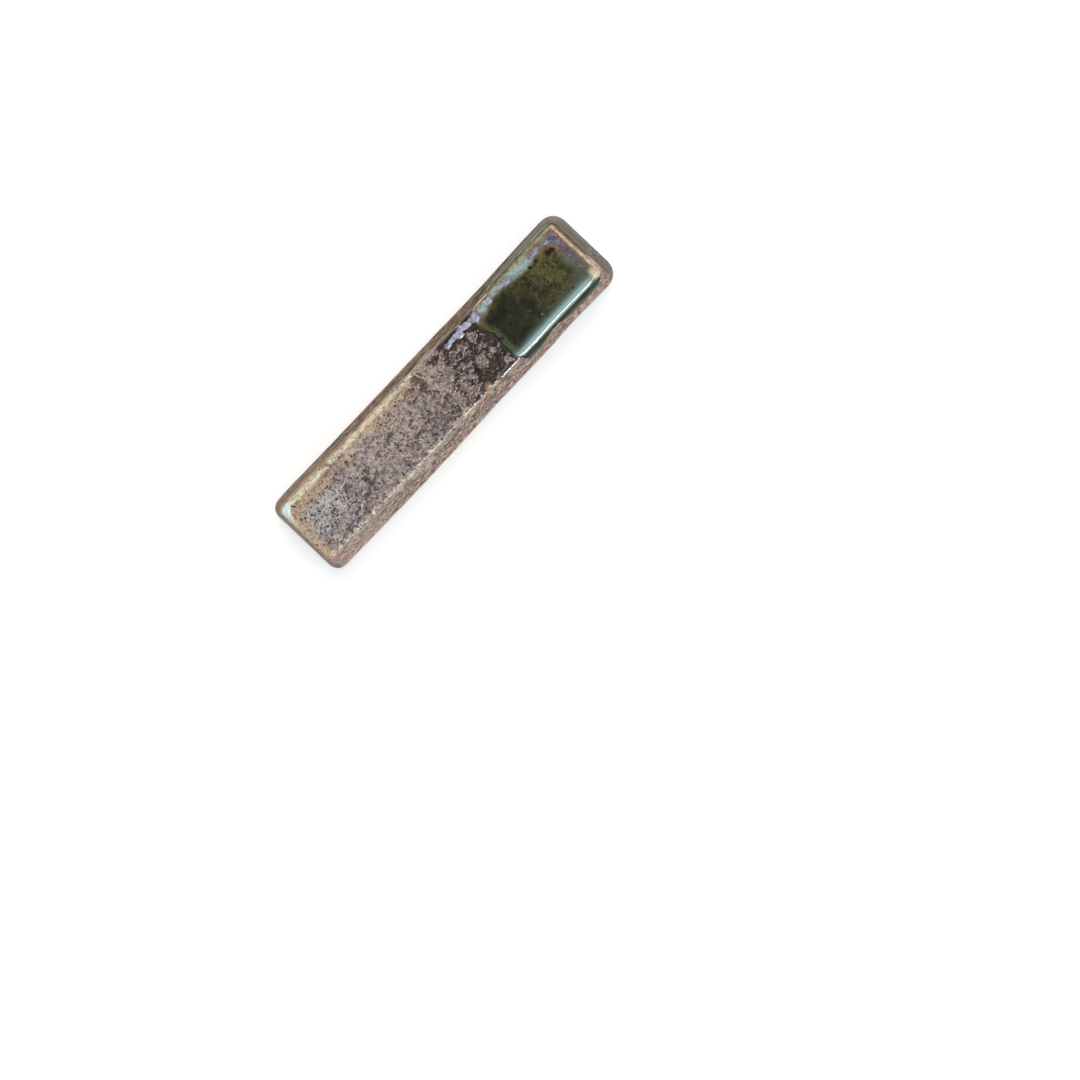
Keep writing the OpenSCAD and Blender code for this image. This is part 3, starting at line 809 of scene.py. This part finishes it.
def crawled_iron():
    g = Glaze("crawled_iron")
    curd, strand, bump, ringed = g.drawn("curd", "strand", "bump", "ringed")
    ground = g.layers(
        g.over(g.mottle(1.1, 2.6, 0.9), (20, 13, 10), (98, 70, 62)),
        (g.mottle(1.5, 2.8, 0.8), 0.5, (58, 54, 40)))
    flank = g.over(g.mottle(0.5, 3.0, 0.8), (52, 34, 32), (96, 72, 70))
    pale = g.layers(
        g.over(g.mottle(0.5, 3.4, 0.8), (118, 86, 82), (224, 190, 176)),
        (g.mottle(1.1, 3.2, 0.6), 0.6, (146, 142, 156)),
        (g.fade(g.mottle(1.7, 3.4, 0.6), 0.6, 1.0, 0.0, 0.6), (122, 130, 112)))
    pale = g.over(g.fade(strand, 0.3, 0.9), g.over(0.5, pale, (70, 48, 44)), pale)
    # A lilac patch near the front of the crust: painted reflection
    lilac_reflection = g.times(g.fade(g.x, 10.4, 10.9), g.fade(g.x, 12.3, 11.9), g.fade(g.y, -3.2, -3.6),
                    g.fade(g.mottle(0.5, 3.2, 0.8), 0.2, 0.8))
    skin = g.over(g.mottle(0.6, 3.4, 0.9), (136, 96, 74), (228, 188, 160))
    dots = g.specks(0.5, 0.5, 0.5, 0.8)
    early = g.times(g.fade(g.x, 3.6, 0.4), g.fade(g.mottle(1.0, 3.4, 1.2), 1.0, 0.2))
    tan = g.layers(g.over(g.mottle(0.6, 3.4, 0.8), *TAN), (g.mottle(0.28, 3.0, 0.5), 0.4, TAN_GRAIN))
    colour = g.layers(
        g.over(g.fade(curd, 0.08, 0.4), ground, flank),
        (g.fade(curd, 0.35, 0.75), pale),
        # Thin pale lines along the ropes: painted highlights
        (g.grooves(0.7, 0.7, 0.05), g.fade(curd, 0.2, 0.5), 0.6, (206, 188, 180)),
        (lilac_reflection, g.fade(curd, 0.2, 0.7, 0.0, 0.7), (160, 158, 178)),
        (g.fade(g.x, 11.4, 12.6), g.fade(g.y, -3.0, -4.4), 0.8, (104, 50, 36)),
        (g.fade(ringed, 0.0, 0.3), (30, 22, 12)),
        (g.fade(ringed, 0.4, 0.7), g.over(g.mottle(0.3, 3.0), (62, 58, 36), (116, 112, 76))),
        (g.fade(g.mottle(0.4, 3.4, 1.0), 0.5, 0.8), 0.55, (48, 32, 32)),
        (dots, g.fade(g.fade(g.x, 6.5, 1.0), 0, 1, 0.3, 0.8), (40, 26, 26)),
        (g.fade(g.y, -5.0, -5.4), g.fade(g.x, 8.4, 7.6), skin),
        (bump, skin),
        (early, g.fade(dots, 0.0, 1.0, 1.0, 0.2), tan))
    rough = g.over(early, g.fade(curd, 0.3, 0.8, 0.12, 0.26), (0.5, 0.5, 0.5, 1))
    return g.fire(colour, rough, coat=g.fade(g.y, -4.8, -5.2, 0.55, 0.9), coat_roughness=0.07,
                  bumps=[(g.mottle(0.45, 1.4), 0.03)])


def make_crust():
    piece = cast("iron_glaze_crust", "crawled_crust")
    crease_sharp(piece)
    round_skin(piece)
    place, normal = spots_of(piece)
    x, y, z = place.T
    # Placed lumps near the pool, a tangle of ropes farther off, none on the olive spots or by the streak
    across = x + 0.7 * ripple(x, y, 0.9, 4.1)
    along = y + 0.7 * ripple(x, y, 0.9, 7.7)
    lumps = inside_spots(LUMPS, across, along)
    lumps = ease(lumps + 0.5 * ripple(x, y, 0.5, 2.2) + 0.3 * ripple(x, y, 0.25, 6.2), -0.2, 0.24)
    ropes = ease(ripple(across, along, 1.5, 2.2), -0.1, 0.2)
    tangle = 1 - np.abs(ripple(across, along, 0.7, 9.3)) / 0.2
    strand = ease(1 - np.abs(ripple(across, along, 0.42, 5.1)) / 0.24, 0.0, 1.0)
    share = ease(6.5 - x, 0.0, 4.5)
    curd = np.maximum(lumps, 0.4 * tangle) * (1 - share) + np.maximum(tangle, 0.9 * ropes) * share
    curd = ease(curd, 0.0, 0.9) * (1 - ease(inside_by(STREAKS[0], x, y), -0.5, 0.0))
    ringed = ease(inside_spots(OLIVE_SPOTS, x, y) + 0.1 * ripple(x, y, 0.5), -0.15, 0.3)
    curd = curd * (1 - ease(ringed, 0.0, 0.4))
    face = (normal[:, 2] > 0.2) * ease(x, 0.0, 3.6) * ease(12.8 - x, 0.0, 1.0) \
        * ease(5.4 - np.abs(y), 0.0, 0.5)
    shift(piece, "curds", curd * (0.6 + 0.4 * strand) * face, CURD_RISE)
    shift(piece, "hollows", (1 - curd) * face, -HOLLOW_DEPTH)
    finish_step(piece, "SMOOTH", factor=0.4, iterations=1)
    # The front hem is raised to a rounded slant
    hem = ease(x, 7.6, 8.6) * ease(13.0 - x, 0.0, 0.6) * (y < -4.9) * (z > 7.9) * (normal[:, 2] > -0.3)
    beyond = np.maximum(-HEM_Y - y, 0) + 0.04 * ripple(x, y, 0.9)
    slant = 8.6 + 0.1 * (y + HEM_Y) - 0.4 * beyond - 0.2 * beyond ** 2 \
        - 4 * np.maximum(beyond - 0.22, 0) ** 2 + 0.03 * ripple(x, y, 0.35)
    lift = np.clip((slant - spots_of(piece)[0][:, 2]) / HEM_RISE, 0, 1)
    shift(piece, "hem", lift * hem, HEM_RISE, "Z")
    bump = BUMP[2] + 0.3 * ripple(x, y, 0.6) - np.hypot(x - BUMP[0], y - BUMP[1])
    bump = ease(bump, 0.0, 0.6) * (normal[:, 2] > 0.1)
    shift(piece, "swell", bump, BUMP_RISE, "Z")
    weigh(piece, "face", face * (1 - hem))
    press(piece, "face", "CLOUDS", (0.5, 0.5, 0.5), 0.03, 0.5, noise_depth=1)
    note(piece, curd=curd * (1 - hem), strand=strand, bump=bump, ringed=ringed)
    return settle(piece, "iron_glaze_crust", crawled_iron())


# Green glass pool
DEEP_GREEN = [
    (12.6, 3.0), (12.1, 2.4), (11.6, 1.4), (11.3, 0.3), (11.5, -0.8), (11.8, -1.9), (12.1, -3.0),
    (12.5, -3.9), (13.2, -5.0), (14.6, -4.7), (16.1, -4.4), (18.3, -4.4), (20.7, -4.3), (23.1, -4.1),
    (25.5, -4.0), (27.6, -3.6), (28.6, -2.7), (28.3, -1.2), (28.0, 0.1), (28.6, 1.9), (28.4, 3.1),
    (27.0, 3.5), (25.5, 3.5), (23.6, 3.3), (22.0, 3.4), (20.7, 3.6), (19.0, 3.9), (17.6, 4.0),
    (16.2, 4.0), (15.6, 3.6), (14.7, 3.4), (13.7, 3.0)]
CELADON = [
    [(13.5, 4.6), (14.5, 4.5), (15.0, 3.6), (14.7, 3.1), (14.0, 3.4), (13.4, 4.2)],
    [(16.8, 5.2), (17.9, 5.4), (18.4, 5.3), (18.2, 4.8), (17.9, 4.3), (17.9, 3.8), (17.3, 3.9), (16.7, 4.2),
     (16.5, 4.9)],
    [(20.4, 4.9), (22.8, 4.9), (24.6, 4.7), (25.4, 3.7), (25.0, 3.0), (23.3, 2.9), (22.0, 3.1), (20.2, 3.3)]]
DARK_SPOTS = [(27.5, 2.65, 0.55), (28.2, 2.6, 0.4), (23.9, 3.1, 0.3), (25.3, 3.2, 0.28), (26.3, 1.6, 0.24),
              (26.2, -3.9, 0.16)]
# The lower border of the run: its height along the bar
RUN_X = [12.0, 13.2, 14.0, 15.6, 17.2, 18.6, 20.4, 21.8, 23.4, 25.0, 27.5, 29.4, 30.6]
RUN_Z = [8.1, 7.3, 6.5, 6.6, 7.6, 8.34, 8.36, 7.8, 6.8, 6.4, 6.5, 7.2, 8.0]
WALL_Y = -5.3            # the front wall begins here
SLOPE_DEPTH, SWAY_DEPTH, TUCK = 0.14, 0.03, 0.6


def green_ash_glass():
    g = Glaze("green_ash_glass")
    deep, border, celadon, dark, brink = g.drawn("deep", "border", "celadon", "dark", "brink")
    cloud, small = g.mottle(2.6, 1.8, 0.5), g.mottle(0.7, 2.2, 1.0)
    margin = g.times(g.fade(border, 0.2, 0.6), g.fade(border, 1.7, 0.6))
    behind = g.times(g.fade(g.y, 0.0, 2.4), g.fade(g.x, 17.0, 20.0, 0.0, 0.3))
    faint = g.fade(g.x, 17.0, 23.0, 0.08, 0.35)
    green = g.layers(
        g.over(cloud, (12, 14, 4), (46, 50, 28)),
        (g.plus(g.fade(g.x, 19.0, 25.5, 0.0, 0.75), behind, clamp=True), (102, 98, 56)),
        (small, 0.5, (16, 15, 4)),
        (g.fade(g.mottle(1.4, 1.8, 0.3), 0.4, 1.0), g.fade(g.x, 16.0, 22.0, 0.15, 0.4), (96, 100, 62)),
        (margin, g.fade(cloud, 0, 1, 0.5, 0.85), (98, 106, 70)),
        (g.fade(deep, 1.5, 0.3), g.fade(g.y, 0.5, 2.5), g.mottle(0.8, 3.0, 1.0), 0.6, (88, 78, 38)),
        (g.specks(0.7, 0.42, 0.35, 0.6), faint, (108, 106, 56)),
        (g.fade(g.mottle(1.7, 3.4, 1.4), 0.45, 0.85), g.fade(g.x, 16.0, 23.0, 0.2, 0.7), (46, 36, 12)),
        (g.specks(1.3, 0.46, 0.4, 1.4), 0.75, (14, 9, 2)),
        (g.specks(0.5, 0.4, 0.45, 0.8), margin, 0.8, (18, 16, 6)),
        (g.specks(0.55, 0.46, 0.4, 0.5), 0.8, (12, 9, 3)),
        (g.specks(0.8, 0.3, 0.35, 0.4), 0.5, (140, 138, 88)),
        (g.grooves(1.6, 0.7, 0.012), g.fade(g.mottle(2.0, 4.0, 0.4), 0.5, 1.0), faint, (150, 156, 116)))
    # The back edge: rust and mauve, with milky celadon patches and a rim
    rust = g.over(g.mottle(0.7, 3.0, 1.0), (84, 50, 36), (160, 116, 72))
    mauve = g.over(g.mottle(0.9, 2.6, 0.8), (112, 100, 104), (136, 132, 122))
    milk = g.layers(
        g.over(g.mottle(0.8, 2.2, 0.6), (124, 150, 142), (186, 210, 202)),
        (g.mottle(0.5, 3.4, 0.8), 0.2, (128, 110, 92)))
    rim = g.layers(
        g.over(g.mottle(0.7, 3.2, 0.8), (112, 88, 60), (182, 182, 146)),
        (g.fade(g.x, 18.0, 14.0), g.over(g.mottle(0.8, 3.2, 0.8), (104, 64, 42), (186, 160, 116))))
    back_edge = g.layers(
        g.over(g.mottle(1.0, 3.2, 0.8), rust, mauve),
        (celadon, milk),
        (g.fade(g.y, 4.9, 5.2), rim))
    # The pale teal band along the front edge: partly milky glaze, partly a painted reflection of the window
    front_edge = g.over(g.fade(g.y, -3.6, -5.2), (70, 84, 66), (124, 158, 156))
    end_edge = g.layers(
        g.over(g.mottle(0.9, 2.4, 0.8), (70, 74, 54), (112, 120, 102)),
        (g.fade(g.x, 29.4, 30.2), g.mottle(0.7, 3.0), (128, 108, 84)),
        (g.fade(g.x, 29.2, 30.0), g.fade(g.y, -3.4, -4.3), (206, 190, 146)))
    edge = g.layers(
        g.over(g.fade(g.x, 27.6, 29.8), front_edge, end_edge),
        (g.fade(g.y, -1.0, 3.0), back_edge),
        (g.fade(g.x, 30.52, 30.64), g.over(g.mottle(0.8, 3.2, 0.4), (150, 106, 70), (224, 190, 148))))
    # The deep green meets the edge softly in front, and close to its outline behind
    run = g.fade(g.y, -5.5, -5.7)
    deep = g.fade(deep, g.fade(celadon, 0.0, 0.6, -0.5, -0.9), g.fade(g.y, -1.5, -3.0, 0.5, 1.5))
    colour = g.layers(
        g.over(deep, edge, green),
        (run, g.over(cloud, (44, 50, 38), (76, 84, 68))),
        (g.fade(border, 0.32, 0.12), (26, 15, 10)),
        (g.fade(brink, 0.3, 0.05), run, (40, 32, 24)),
        (dark, (34, 18, 8)),
        (g.fade(dark, 0.02, 0.4), g.fade(dark, 0.95, 0.5), 0.4, (96, 60, 26)))
    return g.fire(colour, 0.26, coat=g.fade(run, 0.0, 1.0, 1.0, 0.05), coat_roughness=0.03,
                  ior=g.fade(run, 0.0, 1.0, 1.52, 1.12))


def make_pool():
    piece = cast("green_glass_pool", "green_pool")
    crease_sharp(piece)
    round_skin(piece)
    place, normal = spots_of(piece)
    x, y, z = place.T
    slope = np.clip((-y - 3.7) / 1.7, 0, 1) ** 2 * ease(z, 6.6, 7.8) * ease(30.8 - x, 0.0, 0.8)
    shift(piece, "slope", slope * (normal[:, 2] > 0.1), -SLOPE_DEPTH, "Z")
    shift(piece, "sway", (0.5 + 0.7 * ripple(x, y, 4.5)) * ease(normal[:, 2], 0.9, 0.99), -SWAY_DEPTH, "Z")
    # Below its lower border the run goes back into the clay
    brink = z - np.interp(x, RUN_X, RUN_Z) + 0.25 * ripple(x, y, 1.1)
    shift(piece, "under", ease(-brink, -0.06, 0.14) * (y < WALL_Y), TUCK, "Y")
    note(piece, brink=np.where(y < WALL_Y, brink, 9.0),
         deep=inside_by(DEEP_GREEN, x, y) + 0.16 * ripple(x, y, 0.8))
    flat = place * (1, 1, 0)
    shore = flat[(normal[:, 0] < -0.8) & (np.abs(y) < 5.7)]
    note(piece, border=distance_to(shore, flat) + 0.12 * ripple(x, y, 0.8) - 0.12)
    celadon = np.max([inside_by(patch, x, y) for patch in CELADON], axis=0) + 0.5 * ripple(x, y, 0.5)
    dark = inside_spots(DARK_SPOTS, x, y) + 0.2 * ripple(x, y, 0.45)
    note(piece, celadon=ease(celadon, -0.7, 0.5), dark=ease(dark, -0.2, 0.16))
    return settle(piece, "green_glass_pool", green_ash_glass())


# Milky streaks
def milky_blue():
    g = Glaze("milky_blue")
    cloud = g.mottle(0.8, 2.6, 0.8)
    end = g.fade(g.x, 26.5, 28.6)
    colour = g.layers(
        g.over(cloud, (96, 92, 114), (164, 172, 198)),
        # Pale blue-white spots, most on the streaks below x 22: partly milky glaze, partly painted highlights
        (g.mottle(0.5, 3.6, 0.8), g.fade(g.x, 22.0, 18.0, 0.2, 0.7), (204, 210, 230)),
        (g.fade(g.mottle(0.42, 3.6, 1.2), 0.5, 0.9), 0.5, (104, 92, 116)),
        (end, 0.8, g.over(g.mottle(0.8, 3.0, 0.8), (60, 54, 72), (120, 114, 130))),
        (g.fade(g.y, 3.0, 1.0), end, g.mottle(0.8, 3.0, 0.9), (108, 80, 72)),
        (g.specks(0.8, 0.42, 0.4, 0.9), 0.75, (74, 58, 78)))
    return g.fire(colour, 0.18, coat=0.7, bumps=[(cloud, 0.03)])


# Celadon bead
BEAD = [(-30.9, 5.1), (-30.4, 5.6), (-29.6, 5.75), (-28.7, 5.7), (-27.6, 5.65), (-27.6, 5.45), (-28.6, 5.35),
        (-29.2, 5.0), (-29.6, 4.4), (-30.0, 3.8), (-30.4, 2.6), (-30.8, 1.4), (-30.95, 1.5), (-30.95, 3.4)]


def pale_celadon():
    g = Glaze("pale_celadon")
    # The near-white cyan is partly the pale glaze and partly a painted highlight
    colour = g.layers(
        g.over(g.mottle(1.2, 1.6, 0.4), (204, 230, 222), (236, 250, 246)),
        (g.plus(g.fade(g.y, 4.2, 3.0), g.fade(g.x, -29.2, -28.4), clamp=True), (214, 200, 168)))
    return g.fire(colour, 0.14, coat=0.7, coat_roughness=0.03, bumps=[(g.mottle(0.7, 1.2), 0.01)])


# Olive end wrap
def olive_coat():
    g = Glaze("olive_coat")
    reach, = g.drawn("reach")
    on_end = g.fade(g.x, 31.0, 31.6)
    patch, grain = g.mottle(1.3, 2.6, 1.2), g.brushing(4.0, 0.36, 1.0)
    g.turn()
    streak = g.over(on_end, grain, g.brushing(4.0, 0.36, 1.0))
    corner = g.times(g.fade(g.x, 30.6, 31.6), g.fade(g.size(g.y), 4.6, 6.4))
    # Towards its own border the glaze thins, and the clay shows
    fine = g.brushing(1.1, 0.3, 1.6)
    bare = g.over(on_end, g.over(g.fade(grain, 0.45, 0.55), *OLIVE_CLAY),
                  g.over(g.fade(fine, 0.44, 0.56), *END_CLAY))
    colour = g.layers(
        g.over(g.fade(streak, 0.44, 0.56), (42, 40, 24), (80, 76, 48)),
        (patch, 0.45, (80, 58, 46)),
        (g.fade(streak, 0.55, 0.62), 0.7, (124, 116, 84)),
        (corner, g.fade(patch, 0.0, 1.0, 0.5, 1.0), (132, 96, 86)),
        (g.grooves(1.4, 0.6, 0.09), 0.6, (40, 34, 24)),
        (g.fade(g.z, 7.2, 7.85), on_end, 0.8, g.over(patch, (92, 58, 36), (142, 98, 62))),
        (g.fade(g.z, 7.4, 8.0), g.fade(g.x, 31.0, 30.2), 0.8,
         g.over(g.fade(streak, 0.44, 0.58), (104, 92, 64), (176, 172, 140))),
        (g.fade(reach, 1.1, 0.1), g.fade(g.z, 7.4, 6.8), bare))
    return g.fire(colour, 0.5, coat=0.1, coat_roughness=0.2, shine=0.2, bumps=[(streak, 0.05)])


def make_wrap():
    piece = cast("olive_end_wrap", "olive_wrap")
    crease_sharp(piece)
    rim = []
    for edge in piece.data.edges:
        if edge.select:
            start, end = (piece.data.vertices[number].co / MM for number in edge.vertices)
            rim += [start.lerp(end, share) for share in (0, 0.25, 0.5, 0.75)]
    round_skin(piece)
    place = spots_of(piece)[0]
    uneven = 0.9 * ripple(place[:, 0] + place[:, 1], place[:, 2], 0.8)
    note(piece, reach=distance_to(rim, place) + uneven)
    settle(piece, "olive_end_wrap", olive_coat())


coats = [make_clay(), make_tan(), make_crust(), make_pool()]
ground = joined_copy("ground", [coat.data for coat in coats])
streaks = lay_drops("milky_streaks", STREAKS, ground, rise=0.13, cell=0.09, ragged=0.3, grain=0.55)
settle(streaks, "milky_glaze_streaks", milky_blue())
bead = lay_drops("celadon_bead", [BEAD], ground, rise=0.2, cell=0.06, ragged=0.12, grain=0.7)
settle(bead, "celadon_corner_bead", pale_celadon())
bpy.data.objects.remove(ground)
make_wrap()

bpy.context.scene.view_settings.view_transform = "Standard"
